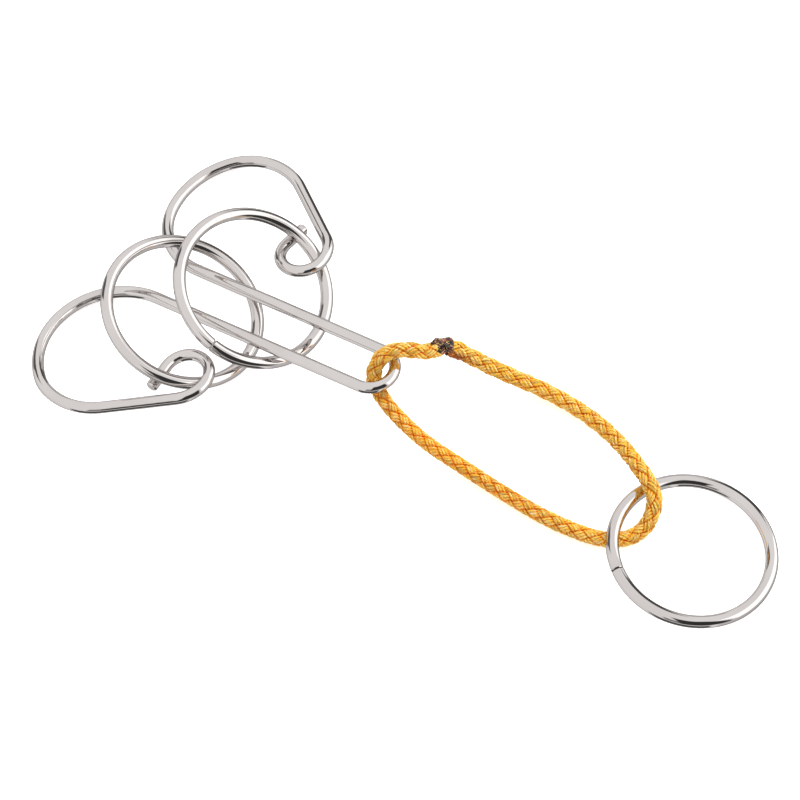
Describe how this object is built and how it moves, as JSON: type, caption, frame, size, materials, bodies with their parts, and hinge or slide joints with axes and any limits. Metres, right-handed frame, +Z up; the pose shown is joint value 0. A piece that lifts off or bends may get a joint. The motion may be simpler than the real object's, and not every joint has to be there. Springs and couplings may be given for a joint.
{
  "type": "ring disentanglement puzzle",
  "caption": "Bent wire frame with a long narrow hairpin and two D-shaped eye loops, captive metal rings, and a braided cord loop with a ring to be worked free.",
  "frame": {"origin": "on the table under the middle of the metal frame and rings taken together, as the puzzle lies at rest", "axes": "+X along the hairpin from the eye loops towards the cord's ring, +Z up from the table"},
  "size_m": [0.1804, 0.0842, 0.0191],
  "materials": {
    "frame_wire": "polished nickel plate on steel wire",
    "ring_wire": "polished nickel plate on steel wire",
    "braided_cord": "golden yellow braided nylon",
    "melted_cord": "charred and glossy where the nylon melted"
  },
  "bodies": {
    "frame": {"wire_frame": "frame_wire"},
    "near_ring": {"near_eye_ring": "ring_wire"},
    "far_ring": {"far_eye_ring": "ring_wire"},
    "cord": {"cord_loop": "braided_cord", "melted_splice": "melted_cord"},
    "end_ring": {"pull_ring": "ring_wire"}
  },
  "joints": [
    {"name": "near_ring_spin", "type": "hinge", "parent": "frame", "child": "near_ring", "pos_m": [-0.06206, -0.00775, 0.00802], "axis": [0.3199, 0.1209, 0.9397], "continuous": true},
    {"name": "far_ring_spin", "type": "hinge", "parent": "frame", "child": "far_ring", "pos_m": [-0.05066, 0.00545, 0.0098], "axis": [0.4189, 0.0426, 0.907], "continuous": true},
    {"name": "cord_swing", "type": "hinge", "parent": "frame", "child": "cord", "pos_m": [-0.015, 0.0005, 0], "axis": [0, 0, 1], "range_deg": [-30, 30]},
    {"name": "pull_ring_flap", "type": "hinge", "parent": "cord", "child": "end_ring", "pos_m": [0.05, -0.008, 0.0055], "axis": [-0.2741, -0.9593, 0.0685], "range_deg": [0, 110]}
  ]
}
